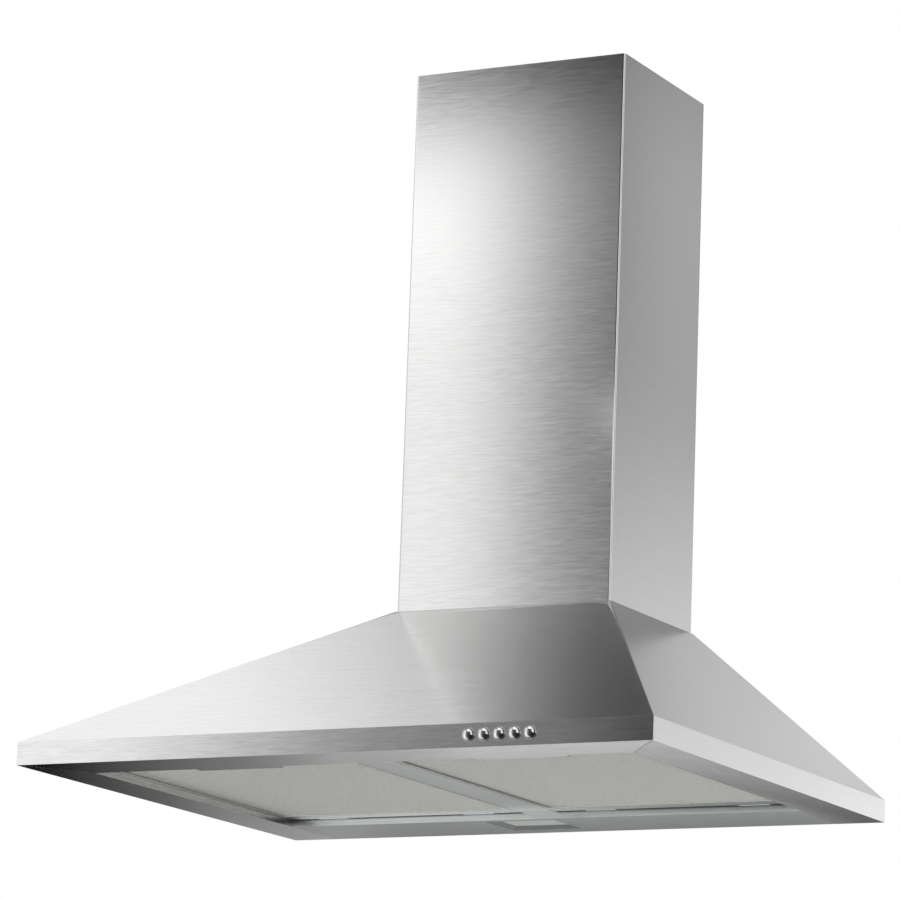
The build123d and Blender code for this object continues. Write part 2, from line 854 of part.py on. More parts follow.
# ---- Blower box and duct collar ----
# An open-bottomed sheet box on the ledge. The blower hangs from its top, and the collar stands on it.
scroll_inner_d = wheel_l + 2 * scroll_end_gap
scroll_d = scroll_inner_d + 2 * scroll_wall
scroll_r = wheel_r + scroll_gap
wheel_x = box_w / 2 - sheet - scroll_side_gap - scroll_wall - scroll_step - scroll_r
outlet_left = wheel_x - scroll_r - 4 * scroll_step
outlet_right = outlet_left + outlet_w
outlet_x = outlet_left + outlet_w / 2
neck_top = box_top - sheet
neck_screw_spots = [(outlet_x, box_y + side * (scroll_d + neck_flange) / 2) for side in (-1, 1)]
collar_screw_spots = [
    polar((0, box_y), collar_r + duct_room + screw_head_r, turn + side * collar_ear_angle)
    for turn in (0, 180) for side in (-1, 1)
]
terminal_spot = (
    box_w / 2 - sheet - terminal_gap - terminal_w / 2,
    -box_back - sheet - terminal_inset - terminal_d / 2,
)
gland_spot = (terminal_spot[0] + gland_right, terminal_spot[1] + gland_back)

with BuildPart() as blower_box:
    with BuildSketch(Plane.XY.offset(canopy_h)):
        with Locations((0, box_y)):
            Rectangle(box_w, box_d)
    extrude(amount=box_h)
    offset(amount=-sheet, openings=blower_box.faces().sort_by(Axis.Z)[0])
    # flange turned inwards round the foot
    with BuildSketch(Plane.XY.offset(canopy_h)):
        with Locations((0, box_y)):
            Rectangle(box_w, box_d)
            Rectangle(box_w - 2 * box_flange, box_d - 2 * box_flange, mode=Mode.SUBTRACT)
        with Locations(*box_screw_spots):
            Circle(screw_r + screw_clear, mode=Mode.SUBTRACT)
    extrude(amount=sheet)
    # outlet, and holes for the scroll's, the collar's and the gland's fixings
    with BuildSketch(Plane.XY.offset(box_top)):
        with Locations((outlet_x, box_y)):
            Rectangle(outlet_w, scroll_inner_d)
        with Locations(*neck_screw_spots, *collar_screw_spots):
            Circle(screw_r + screw_clear)
        with Locations(gland_spot):
            Circle(gland_thread_r + screw_clear)
    extrude(amount=-sheet, mode=Mode.SUBTRACT)
save(blower_box.part, "blower_box")
save(pan_screws(Plane.XY.offset(canopy_h + sheet), box_screw_spots), "blower_box_screws")

with BuildPart() as duct_collar:
    with BuildSketch(Plane.XY.offset(box_top)):
        with Locations((0, box_y)):
            Circle(collar_r + collar_flange)
        with Locations(*collar_screw_spots):
            Circle(collar_ear_r)
            Circle(screw_r + screw_clear, mode=Mode.SUBTRACT)
    extrude(amount=collar_flange_t)
    with BuildSketch(Plane.XY.offset(box_top)):
        with Locations((0, box_y)):
            Circle(collar_r)
    extrude(amount=collar_h)
    chamfer(duct_collar.faces().sort_by(Axis.Z)[-1].edges(), collar_wall / 2)
    with BuildSketch(Plane.XY.offset(box_top)):
        with Locations((0, box_y)):
            Circle(collar_r - collar_wall)
    extrude(amount=collar_h, mode=Mode.SUBTRACT)
    # holes for the flap pin
    with BuildSketch(Plane.YZ.offset(-collar_r)):
        with Locations((box_y, box_top + flap_z)):
            Circle(flap_pin_r)
    extrude(amount=2 * collar_r, mode=Mode.SUBTRACT)
save(duct_collar.part, "duct_collar")
save(pan_screws(Plane.XY.offset(box_top + collar_flange_t), collar_screw_spots), "collar_screws")

# Two half-round non-return flaps on one pin across the collar
with BuildPart() as flap_pin:
    with BuildSketch(Plane.YZ.offset(-collar_r)):
        with Locations((box_y, box_top + flap_z)):
            Circle(flap_pin_r)
    extrude(amount=2 * collar_r)
save(flap_pin.part, "flap_pin")


def flap(side, barrel_xs):
    """Half disc on the given side of the pin. Its barrels alternate with the other flap's."""
    radius = collar_r - collar_wall - flap_gap
    edge = flap_barrel_r + flap_t / 2
    with BuildPart() as disc:
        with BuildSketch(Plane.XY.offset(box_top + flap_z - flap_t / 2)):
            with Locations((0, box_y)):
                Circle(radius)
            with Locations((0, box_y - side * (radius - edge))):
                Rectangle(2 * radius, 2 * radius, mode=Mode.SUBTRACT)
            with Locations(*[(x, box_y + side * edge / 2) for x in barrel_xs]):
                Rectangle(flap_barrel_l, edge + flap_t)
        extrude(amount=flap_t)
        for x in barrel_xs:
            with BuildSketch(Plane.YZ.offset(x - flap_barrel_l / 2)):
                with Locations((box_y, box_top + flap_z)):
                    Circle(flap_barrel_r)
            extrude(amount=flap_barrel_l)
        with BuildSketch(Plane.YZ.offset(-collar_r)):
            with Locations((box_y, box_top + flap_z)):
                Circle(flap_pin_r + run_gap)
        extrude(amount=2 * collar_r, mode=Mode.SUBTRACT)
    return disc.part


barrel_pitch = flap_barrel_l + flap_barrel_gap
save(flap(-1, [-2 * barrel_pitch, 0, 2 * barrel_pitch]), "front_flap")
save(flap(1, [-barrel_pitch, barrel_pitch]), "rear_flap")

# ---- Scroll casing ----
# Seen from the front, its inside follows three quarter arcs from the outlet's left wall round to the
# tongue. Each arc is one step tighter than the one before.
scroll_arcs = [
    ((wheel_x - scroll_step, wheel_z), scroll_r + 3 * scroll_step),
    ((wheel_x - scroll_step, wheel_z - scroll_step), scroll_r + 2 * scroll_step),
    ((wheel_x, wheel_z - scroll_step), scroll_r + scroll_step),
]


ear_spots = [
    polar(centre, radius + scroll_wall + ear_gap, 225 + 90 * i)
    for i, (centre, radius) in enumerate(scroll_arcs)
]
spider_spots = [
    polar((wheel_x, wheel_z), spider_hole_r, spider_turn + i * 360 / spider_arm_count)
    for i in range(spider_arm_count)
]
wheel_middle = Plane.XZ.offset(-box_y)

with BuildSketch() as scroll_inside:
    with BuildLine():
        for i, (centre, radius) in enumerate(scroll_arcs):
            CenterArc(centre, radius, 180 + 90 * i, 90)
        Polyline(
            (wheel_x, wheel_z + scroll_r),
            (outlet_right, wheel_z + scroll_r),
            (outlet_right, neck_top),
            (outlet_left, neck_top),
            (outlet_left, wheel_z),
        )
    make_face()
    tongue_corner = Vector(outlet_right, wheel_z + scroll_r)
    fillet(scroll_inside.vertices().sort_by_distance(tongue_corner)[0], tongue_bend)


def scroll_half(side):
    """The casing's half in front of (-1) or behind (1) the wheel's middle."""
    out = -side
    end_face = wheel_middle.offset(out * scroll_d / 2)
    with BuildPart() as half:
        with BuildSketch(wheel_middle):
            add(scroll_inside.sketch)
            offset(amount=scroll_wall, kind=Kind.INTERSECTION)
        extrude(amount=out * scroll_d / 2)
        with BuildSketch(wheel_middle):
            with Locations(*ear_spots):
                Circle(ear_r)
        extrude(amount=out * ear_t)
        with BuildSketch(end_face):
            with Locations((wheel_x, wheel_z)):
                Circle(inlet_r + scroll_wall)
        extrude(amount=out * inlet_lip)
        # flange round the neck, against the box's top
        with BuildSketch(Plane.XY.offset(neck_top)):
            with Locations((outlet_x, box_y + side * (scroll_d / 2 + neck_flange) / 2)):
                Rectangle(outlet_w + 2 * (scroll_wall + neck_flange), scroll_d / 2 + neck_flange)
        extrude(amount=-scroll_wall)
        with BuildSketch(wheel_middle):
            add(scroll_inside.sketch)
        extrude(amount=out * scroll_inner_d / 2, mode=Mode.SUBTRACT)
        split(bisect_by=Plane.XY.offset(neck_top), keep=Keep.BOTTOM)
        # inlet with a rounded mouth
        with BuildSketch(wheel_middle):
            with Locations((wheel_x, wheel_z)):
                Circle(inlet_r)
        extrude(amount=out * (scroll_d / 2 + inlet_lip), mode=Mode.SUBTRACT)
        mouth_edges = half.faces().sort_by(Axis.Y, reverse=side > 0)[0].edges()
        fillet(mouth_edges.sort_by(SortBy.LENGTH)[0], 0.8 * scroll_wall)
        # screw holes
        with BuildSketch(wheel_middle):
            with Locations(*ear_spots):
                Circle(screw_r + screw_clear)
        extrude(amount=out * ear_t, mode=Mode.SUBTRACT)
        with BuildSketch(Plane.XY.offset(neck_top)):
            with Locations(*neck_screw_spots):
                Circle(screw_r + screw_clear)
        extrude(amount=-scroll_wall, mode=Mode.SUBTRACT)
        if side < 0:
            with BuildSketch(end_face):
                with Locations(*spider_spots):
                    Circle(screw_r + screw_clear)
            extrude(amount=-scroll_wall, mode=Mode.SUBTRACT)
    return half.part


save(scroll_half(-1), "scroll_front")
save(scroll_half(1), "scroll_rear")
save(pan_screws(wheel_middle.offset(ear_t), ear_spots, 2 * ear_t), "casing_screws")
save(pan_screws(Plane.XY.offset(box_top), neck_screw_spots), "scroll_screws")

# ---- Blower wheel ----
# Double-inlet wheel: curved blades through a middle disc, tied by a ring at each end, on a bored hub.
with BuildSketch() as blade:
    with BuildLine():
        SagittaArc((wheel_inner_r, 0), (wheel_r - blade_t, blade_lead), blade_bow)
    trace(line_width=blade_t)

with BuildPart() as blower_wheel:
    wheel_end = wheel_middle.offset(-wheel_l / 2)
    with BuildSketch(wheel_end):
        with Locations((wheel_x, wheel_z)):
            with PolarLocations(0, blade_count):
                add(blade.sketch)
    extrude(amount=wheel_l)
    for rise in (0, wheel_l - wheel_ring_t):
        with BuildSketch(wheel_end.offset(rise)):
            with Locations((wheel_x, wheel_z)):
                Circle(wheel_r)
                Circle(wheel_r - wheel_ring_w, mode=Mode.SUBTRACT)
        extrude(amount=wheel_ring_t)
    with BuildSketch(wheel_middle):
        with Locations((wheel_x, wheel_z)):
            Circle(wheel_r - wheel_ring_w)
    extrude(amount=wheel_ring_t / 2, both=True)
    with BuildSketch(wheel_middle):
        with Locations((wheel_x, wheel_z)):
            Circle(hub_r)
    extrude(amount=hub_l / 2, both=True)
    with BuildSketch(wheel_middle):
        with Locations((wheel_x, wheel_z)):
            Circle(shaft_r + run_gap)
    extrude(amount=hub_l, both=True, mode=Mode.SUBTRACT)
save(blower_wheel.part, "blower_wheel")

# ---- Motor ----
# It reaches through the front inlet into the wheel, held by a band with three arms on the casing.
motor_end = motor_set_back - box_y
case_end = Plane.XZ.offset(motor_end)
bush_rises = (-motor_boss_l, motor_l + motor_boss_l - 2 * bush_l)

with BuildPart() as motor_case:
    with BuildSketch(Plane((wheel_x, -motor_end, wheel_z))) as case_profile:
        with BuildLine():
            Polyline(
                (0, motor_boss_l),
                (motor_boss_r, motor_boss_l),
                (motor_boss_r, 0),
                (motor_r, 0),
                (motor_r, -motor_l),
                (motor_boss_r, -motor_l),
                (motor_boss_r, -motor_l - motor_boss_l),
                (0, -motor_l - motor_boss_l),
                close=True,
            )
        make_face()
        fillet(case_profile.vertices().group_by(Axis.X)[-1], motor_edge)
    revolve(axis=Axis((wheel_x, -motor_end, wheel_z), (0, 1, 0)))
    # cooling slots in both end faces
    for face, depth in ((case_end, motor_slot_depth), (case_end.offset(motor_l), -motor_slot_depth)):
        with BuildSketch(face):
            with Locations((wheel_x, wheel_z)):
                with PolarLocations((motor_r - motor_edge + motor_boss_r) / 2, motor_slot_count):
                    SlotOverall(motor_slot_l, motor_slot_w)
        extrude(amount=depth, mode=Mode.SUBTRACT)
    # bore for the shaft, with a seat for a bush at each end
    with BuildSketch(case_end.offset(-motor_boss_l)):
        with Locations((wheel_x, wheel_z)):
            Circle(shaft_r + shaft_bore_gap)
    extrude(amount=motor_l + 2 * motor_boss_l - bush_l, mode=Mode.SUBTRACT)
    for rise in bush_rises:
        with BuildSketch(case_end.offset(rise)):
            with Locations((wheel_x, wheel_z)):
                Circle(bush_r)
        extrude(amount=bush_l, mode=Mode.SUBTRACT)
save(motor_case.part, "motor_case")

with BuildPart() as motor_bushes:
    for rise in bush_rises:
        with BuildSketch(case_end.offset(rise)):
            with Locations((wheel_x, wheel_z)):
                Circle(bush_r)
                Circle(shaft_r + run_gap, mode=Mode.SUBTRACT)
        extrude(amount=bush_l)
save(motor_bushes.part, "motor_bushes")

with BuildPart() as motor_shaft:
    with BuildSketch(case_end.offset(motor_l + motor_boss_l - bush_l)):
        with Locations((wheel_x, wheel_z)):
            Circle(shaft_r)
    extrude(amount=bush_l - motor_boss_l - motor_l - motor_set_back - hub_l / 2)
save(motor_shaft.part, "motor_shaft")

foot_l = inlet_lip + spider_gap + spider_t
spider_face = wheel_middle.offset(scroll_d / 2 + foot_l)

with BuildPart() as motor_spider:
    # arms from the band out to a foot each
    with BuildSketch(spider_face):
        with Locations((wheel_x, wheel_z)):
            with PolarLocations((spider_hole_r + motor_r) / 2, spider_arm_count, spider_turn):
                Rectangle(spider_hole_r - motor_r, spider_arm_w)
    extrude(amount=-spider_t)
    with BuildSketch(spider_face):
        with Locations(*spider_spots):
            Circle(spider_foot_r)
    extrude(amount=-foot_l)
    with BuildSketch(spider_face.offset((spider_band_l - spider_t) / 2)):
        with Locations((wheel_x, wheel_z)):
            Circle(motor_r + spider_band)
    extrude(amount=-spider_band_l)
    with BuildSketch(spider_face.offset(spider_band_l)):
        with Locations((wheel_x, wheel_z)):
            Circle(motor_r)
    extrude(amount=-2 * spider_band_l, mode=Mode.SUBTRACT)
    with BuildSketch(spider_face):
        with Locations(*spider_spots):
            Circle(screw_r + screw_clear)
    extrude(amount=-foot_l, mode=Mode.SUBTRACT)
save(motor_spider.part, "motor_spider")
save(pan_screws(spider_face, spider_spots, foot_l + scroll_wall + spider_gap), "motor_screws")

# ---- Electrical parts ----
capacitor_x = box_w / 2 - sheet - capacitor_side_gap - clip_t - capacitor_r
capacitor_z = neck_top - 1.5 * clip_t - capacitor_r
capacitor_end = Plane.XZ.offset(box_front - sheet - capacitor_inset - capacitor_l)

with BuildPart() as capacitor:
    with BuildSketch(capacitor_end):
        with Locations((capacitor_x, capacitor_z)):
            Circle(capacitor_r)
    extrude(amount=capacitor_l)
    fillet(capacitor.edges().filter_by(GeomType.CIRCLE), capacitor_edge)
    with BuildSketch(capacitor_end):
        with Locations((capacitor_x, capacitor_z)):
            with GridLocations(capacitor_r, 0, 2, 1):
                Rectangle(tab_t, tab_w)
    extrude(amount=-tab_l)
save(capacitor.part, "capacitor")

with BuildPart() as capacitor_clip:
    with BuildSketch(capacitor_end.offset((capacitor_l - clip_w) / 2)):
        with Locations((capacitor_x, neck_top)):
            Rectangle(clip_foot_w, clip_t, align=(Align.CENTER, Align.MAX))
        with Locations((capacitor_x, capacitor_z)):
            Circle(capacitor_r + clip_t)
            Circle(capacitor_r, mode=Mode.SUBTRACT)
    extrude(amount=clip_w)
save(capacitor_clip.part, "capacitor_clip")

# Terminal box clamped under the box's top by the cable gland, closed from below by a lid
terminal_foot = Plane.XY.offset(neck_top - terminal_h)

with BuildPart() as terminal_box:
    with BuildSketch(terminal_foot):
        with Locations(terminal_spot):
            Rectangle(terminal_w, terminal_d)
    extrude(amount=terminal_h)
    fillet(terminal_box.edges().filter_by(Axis.Z), 2 * terminal_wall)
    offset(amount=-terminal_wall, openings=terminal_box.faces().sort_by(Axis.Z)[0])
    with BuildSketch(Plane.XY.offset(neck_top)):
        with Locations(gland_spot):
            Circle(gland_thread_r + screw_clear)
    extrude(amount=-terminal_wall, mode=Mode.SUBTRACT)
save(terminal_box.part, "terminal_box")

with BuildPart() as terminal_cover:
    with BuildSketch(terminal_foot):
        with Locations(terminal_spot):
            RectangleRounded(terminal_w, terminal_d, 2 * terminal_wall)
    extrude(amount=-terminal_lid_t)
    lid_inset = 2 * (terminal_wall + screw_clear)
    with BuildSketch(terminal_foot):
        with Locations(terminal_spot):
            RectangleRounded(terminal_w - lid_inset, terminal_d - lid_inset, terminal_wall)
    extrude(amount=terminal_wall)
save(terminal_cover.part, "terminal_cover")

strip_spot = (terminal_spot[0] - terminal_w / 2 + terminal_wall + strip_w / 2, terminal_spot[1])
with BuildPart() as terminal_strip:
    with BuildSketch(Plane.XY.offset(neck_top - terminal_wall)):
        with Locations(strip_spot):
            Rectangle(strip_w, strip_l)
    extrude(amount=-strip_h)
    # row of clamping-screw wells
    with BuildSketch(Plane.XY.offset(neck_top - terminal_wall - strip_h)):
        with Locations(strip_spot):
            with GridLocations(0, strip_pitch, 1, 3):
                Circle(strip_hole_r)
    extrude(amount=strip_hole_l, mode=Mode.SUBTRACT)
save(terminal_strip.part, "terminal_strip")

with BuildPart() as cable_gland:
    with BuildSketch(Plane.XY.offset(box_top)):
        with Locations(gland_spot):
            RegularPolygon(gland_r, 6)
    extrude(amount=gland_hex_h)
    with BuildSketch(Plane.XY.offset(box_top + gland_hex_h)):
        with Locations(gland_spot):
            Circle(gland_cap_r)
    extrude(amount=gland_cap_h, taper=4)
    with BuildSketch(Plane.XY.offset(box_top)):
        with Locations(gland_spot):
            Circle(gland_thread_r)
    extrude(amount=-gland_thread_l)
    # wide bore through the body, narrower in the cap where the seal grips the cable
    with BuildSketch(Plane.XY.offset(box_top - gland_thread_l)):
        with Locations(gland_spot):
            Circle(gland_body_bore_r)
    extrude(amount=gland_thread_l + gland_hex_h, mode=Mode.SUBTRACT)
    with BuildSketch(Plane.XY.offset(box_top + gland_hex_h)):
        with Locations(gland_spot):
            Circle(gland_bore_r)
    extrude(amount=gland_cap_h, mode=Mode.SUBTRACT)
save(cable_gland.part, "cable_gland")

with BuildPart() as gland_nut:
    with BuildSketch(Plane.XY.offset(neck_top - terminal_wall)):
        with Locations(gland_spot):
            RegularPolygon(gland_r, 6)
            Circle(gland_thread_r, mode=Mode.SUBTRACT)
    extrude(amount=-gland_nut_h)
save(gland_nut.part, "gland_nut")
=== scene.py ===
import math

import bmesh
import bpy
from mathutils import Matrix, Vector


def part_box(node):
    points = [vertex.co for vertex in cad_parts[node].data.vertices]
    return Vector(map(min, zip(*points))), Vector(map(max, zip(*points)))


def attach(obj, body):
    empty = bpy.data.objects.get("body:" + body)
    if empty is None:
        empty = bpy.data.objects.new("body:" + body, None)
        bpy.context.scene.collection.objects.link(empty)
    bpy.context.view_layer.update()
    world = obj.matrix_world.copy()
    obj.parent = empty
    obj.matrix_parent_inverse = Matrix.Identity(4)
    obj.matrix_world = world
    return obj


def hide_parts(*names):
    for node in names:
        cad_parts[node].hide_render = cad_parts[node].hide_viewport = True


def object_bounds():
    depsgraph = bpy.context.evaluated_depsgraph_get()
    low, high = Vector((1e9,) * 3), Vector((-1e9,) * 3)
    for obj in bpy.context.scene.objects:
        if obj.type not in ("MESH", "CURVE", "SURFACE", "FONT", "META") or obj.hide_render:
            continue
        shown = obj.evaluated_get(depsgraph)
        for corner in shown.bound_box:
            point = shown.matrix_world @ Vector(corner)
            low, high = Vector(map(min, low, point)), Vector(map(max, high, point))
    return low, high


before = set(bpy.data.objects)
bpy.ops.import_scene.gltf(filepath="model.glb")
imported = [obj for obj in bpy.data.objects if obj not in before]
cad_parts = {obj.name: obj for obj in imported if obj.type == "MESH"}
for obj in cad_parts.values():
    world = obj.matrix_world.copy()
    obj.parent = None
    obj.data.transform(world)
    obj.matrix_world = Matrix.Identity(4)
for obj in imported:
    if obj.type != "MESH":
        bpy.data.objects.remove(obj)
cad_low, cad_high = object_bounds()
scene = bpy.context.scene
scene.view_settings.view_transform = "Standard"


# ---- The place it is pictured in ----
# The hood hangs in a white studio, seen from its lower right, with a pale floor far below it. Soft light
# comes from the front left and from above. Boards that only mirroring surfaces see give the steel its
# shading.
view_azimuth = math.radians(27.27)
view_pitch = math.radians(12.01)
view_roll = math.radians(2.03)
view_from = Vector((1.8602, -3.8997, -0.5634))
lens_length = 188.3
film_width = 36.0

ahead = Vector((
    -math.sin(view_azimuth) * math.cos(view_pitch),
    math.cos(view_azimuth) * math.cos(view_pitch),
    math.sin(view_pitch),
))
level = Vector((math.cos(view_azimuth), math.sin(view_azimuth), 0.0))
upright = level.cross(ahead)
view_right = level * math.cos(view_roll) + upright * math.sin(view_roll)
view_up = upright * math.cos(view_roll) - level * math.sin(view_roll)

camera_data = bpy.data.cameras.new("camera")
camera_data.lens = lens_length
camera_data.sensor_width = film_width
camera_data.clip_start = 0.1
camera_data.clip_end = 60.0
camera = bpy.data.objects.new("camera", camera_data)
scene.collection.objects.link(camera)
camera.matrix_world = Matrix.Translation(view_from) @ Matrix((
    (view_right.x, view_up.x, -ahead.x),
    (view_right.y, view_up.y, -ahead.y),
    (view_right.z, view_up.z, -ahead.z),
)).to_4x4()
scene.camera = camera


def wire(tree, kind, inputs=None, **settings):
    """Adds a shader node. Each input is given a value or another node's socket."""
    node = tree.nodes.new(kind)
    for name, value in settings.items():
        setattr(node, name, value)
    for socket, value in (inputs or {}).items():
        if isinstance(value, bpy.types.NodeSocket):
            tree.links.new(value, node.inputs[socket])
        else:
            node.inputs[socket].default_value = value
    return node


def calculate(tree, operation, first, second=0.0):
    """One step of arithmetic."""
    return wire(tree, "ShaderNodeMath", {0: first, 1: second}, operation=operation).outputs[0]


def rescale(tree, value, from_low, from_high, to_low, to_high, clamp=True):
    """Takes a value from one range to another."""
    return wire(tree, "ShaderNodeMapRange", {
        "Value": value, "From Min": from_low, "From Max": from_high, "To Min": to_low, "To Max": to_high,
    }, clamp=clamp).outputs[0]


def studio_air(ambient):
    """White to the eye, in mirrors and through glass, and a plain ambient level to everything else."""
    world = bpy.data.worlds.new("studio_air")
    world.use_nodes = True
    tree = world.node_tree
    tree.nodes.clear()
    ray = wire(tree, "ShaderNodeLightPath").outputs
    shown = calculate(tree, "MAXIMUM", ray["Is Camera Ray"], ray["Is Glossy Ray"])
    shown = calculate(tree, "MAXIMUM", shown, ray["Is Transmission Ray"])
    strength = rescale(tree, shown, 0.0, 1.0, ambient, 1.0)
    background = wire(tree, "ShaderNodeBackground", {"Color": (1, 1, 1, 1), "Strength": strength})
    wire(tree, "ShaderNodeOutputWorld", {"Surface": background.outputs[0]})
    return world


def softbox(name, centre, width, height, watts):
    """A soft lamp aimed at the middle of the hood, which shows in no mirror."""
    aim = Vector((0, -0.2, 0.2)) - Vector(centre)
    lamp = bpy.data.lights.new(name, "AREA")
    lamp.shape = "RECTANGLE"
    lamp.size = width
    lamp.size_y = height
    lamp.energy = watts
    box = bpy.data.objects.new(name, lamp)
    scene.collection.objects.link(box)
    box.location = centre
    box.rotation_euler = aim.to_track_quat("-Z", "Y").to_euler()
    box.visible_camera = False
    box.visible_glossy = False


def board(name, corner, across, up, glows):
    """A board that nothing but a mirroring surface sees.

    across and up list the points of a grid on it, away from its corner. glows has one row for each step up,
    and the brightness runs smoothly from point to point.
    """
    form = bmesh.new()
    layer = form.verts.layers.float.new("glow")
    rows = []
    for up_step, row in zip(up, glows):
        rows.append([])
        for across_step, glow in zip(across, row):
            point = form.verts.new(Vector(corner) + Vector(across_step) + Vector(up_step))
            point[layer] = glow
            rows[-1].append(point)
    for low_row, high_row in zip(rows, rows[1:]):
        for i in range(len(low_row) - 1):
            form.faces.new((low_row[i], low_row[i + 1], high_row[i + 1], high_row[i]))
    mesh = bpy.data.meshes.new(name)
    form.to_mesh(mesh)
    form.free()
    piece = bpy.data.objects.new(name, mesh)
    scene.collection.objects.link(piece)
    paint = bpy.data.materials.new(name)
    paint.use_nodes = True
    tree = paint.node_tree
    tree.nodes.clear()
    glow = wire(tree, "ShaderNodeAttribute", attribute_name="glow").outputs["Fac"]
    shine = wire(tree, "ShaderNodeEmission", {"Color": (1, 1, 1, 1), "Strength": glow})
    wire(tree, "ShaderNodeOutputMaterial", {"Surface": shine.outputs[0]})
    mesh.materials.append(paint)
    piece.visible_camera = False
    piece.visible_diffuse = False
    piece.visible_shadow = False
    piece.visible_transmission = False


def wall(name, y, xs, zs, glows):
    """An upright board across the studio."""
    board(name, (0, y, 0), [(x, 0, 0) for x in xs], [(0, 0, z) for z in zs], glows)


studio_left = -2.4
studio_right = 1.8
studio_front = -1.2
studio_back = 0.95
studio_top = 2.6

scene.world = studio_air(ambient=0.95)
softbox("key_light", (-1.9, -2.2, 1.1), width=1.6, height=2.4, watts=34.0)
softbox("top_light", (0.4, -0.8, 2.6), width=1.6, height=1.2, watts=16.0)
# The chimney's front mirrors the front board, and the lip the one below it.
wall("front_board", studio_front,
     (-2.0, -0.80, -0.70, -0.62, -0.56, -0.50, -0.44, -0.38, -0.28, -0.10, 0.5),
     (0.31, 0.68, 0.93, 1.00, 1.32, 1.40, studio_top), (
         (0.6, 0.92, 1.16, 1.27, 1.16, 0.73, 0.35, 0.215, 0.08, 0.0, 0.0),
         (0.6, 0.90, 1.12, 1.23, 1.12, 0.72, 0.34, 0.215, 0.08, 0.0, 0.0),
         (0.6, 1.35, 1.68, 1.86, 1.68, 1.05, 0.54, 0.34, 0.12, 0.0, 0.0),
         (0.7, 1.70, 0.48, 0.00, 0.00, 0.00, 0.00, 0.00, 0.00, 0.0, 0.0),
         (0.7, 1.70, 0.48, 0.00, 0.00, 0.00, 0.00, 0.00, 0.00, 0.0, 0.0),
         (0.0, 0.00, 0.00, 0.00, 0.00, 0.00, 0.00, 0.00, 0.00, 0.0, 0.0),
         (0.3, 0.30, 0.30, 0.30, 0.30, 0.30, 0.30, 0.30, 0.30, 0.3, 0.3),
     ))
wall("low_front_board", studio_front,
     (-2.0, -0.66, -0.56, -0.46, -0.36, -0.27, -0.15, -0.10, -0.05, 0.5),
     (-1.0, 0.29),
     2 * ((1.15, 1.15, 0.90, 0.62, 0.40, 0.29, 0.25, 0.20, 0.08, 0.02),))
# The canopy's slopes and the right-hand sides mirror the back board, and the underside the low one.
wall("back_board", studio_back,
     (studio_left, -1.2, -0.95, -0.65, -0.3, 0.05, 0.3, 0.55, 0.8, 1.1, 1.25, studio_right),
     (0.0, 0.3, 0.6, 0.9, 1.2, 1.6, studio_top), (
         (0.85, 0.82, 0.75, 0.66, 0.64, 0.85, 1.05, 1.45, 1.20, 0.85, 1.2, 1.2),
         (0.88, 0.85, 0.75, 0.62, 0.52, 0.80, 0.80, 0.84, 0.80, 0.75, 1.2, 1.2),
         (0.95, 0.92, 0.80, 0.59, 0.47, 0.65, 0.20, 0.52, 0.40, 0.20, 1.2, 1.2),
         (1.04, 1.00, 0.85, 0.48, 0.30, 0.05, 0.00, 0.60, 0.12, 0.10, 1.2, 1.2),
         (1.22, 1.14, 0.82, 0.30, 0.00, 0.00, 0.00, 0.32, 0.08, 0.05, 1.0, 1.0),
         (1.30, 1.15, 0.70, 0.20, 0.00, 0.00, 0.00, 0.00, 0.00, 0.00, 0.4, 0.4),
         (1.00, 1.00, 0.65, 0.10, 0.00, 0.00, 0.00, 0.00, 0.00, 0.00, 0.0, 0.0),
     ))
wall("low_back_board", 0.35,
     (studio_left, -0.80, -0.65, -0.55, -0.45, -0.30, -0.10, 0.05, 0.25, 1.2),
     (-1.55, -0.40, -0.27, -0.15, -0.06, -0.005), (
         (0.00, 0.00, 0.05, 0.55, 0.90, 1.45, 1.40, 1.40, 1.20, 0.9),
         (0.00, 0.00, 0.05, 0.54, 0.90, 1.40, 1.15, 1.20, 0.85, 0.6),
         (0.03, 0.00, 0.15, 0.32, 0.60, 1.20, 1.15, 1.20, 0.70, 0.4),
         (0.02, 0.00, 0.15, 0.14, 0.33, 0.42, 0.45, 0.52, 0.40, 0.4),
         (0.02, 0.00, 0.10, 0.30, 0.38, 0.14, 0.12, 0.09, 0.14, 0.3),
         (0.02, 0.00, 0.10, 0.40, 0.36, 0.06, 0.05, 0.05, 0.08, 0.3),
     ))
# The rest show in bends and in views from other sides. The domed buttons mirror the last two.
depths = [(0, studio_front, 0), (0, studio_back, 0)]
heights = [(0, 0, z) for z in (-1.5, -0.1, 0.1, studio_top)]
board("right_board", (studio_right, 0, 0), [depths[0], (0, 0.25, 0), (0, 0.45, 0), depths[1]], heights,
      2 * ((1.7, 1.7, 1.7, 1.7),) + 2 * ((0.5, 0.5, 1.2, 1.2),))
board("left_board", (studio_left, 0, 0), depths, heights, 2 * ((0.8, 0.8),) + 2 * ((0.7, 0.7),))
board("top_board", (0, 0, studio_top), depths, [(studio_left, 0, 0), (studio_right, 0, 0)],
      2 * ((0.25, 0.25),))
board("near_board", (0.77, -0.83, -0.58), [(-0.38, -0.70, 0), (0.38, 0.70, 0)],
      [(-0.45, 0.24, -0.61), (0.45, -0.24, 0.61)], 2 * ((0.02, 0.02),))
board("button_board", (0, 0, 0.45), [(-0.1, 0, 0), (0.4, 0, 0)], [(0, -1.0, 0), (0, -0.55, 0)],
      2 * ((1.2, 1.2),))

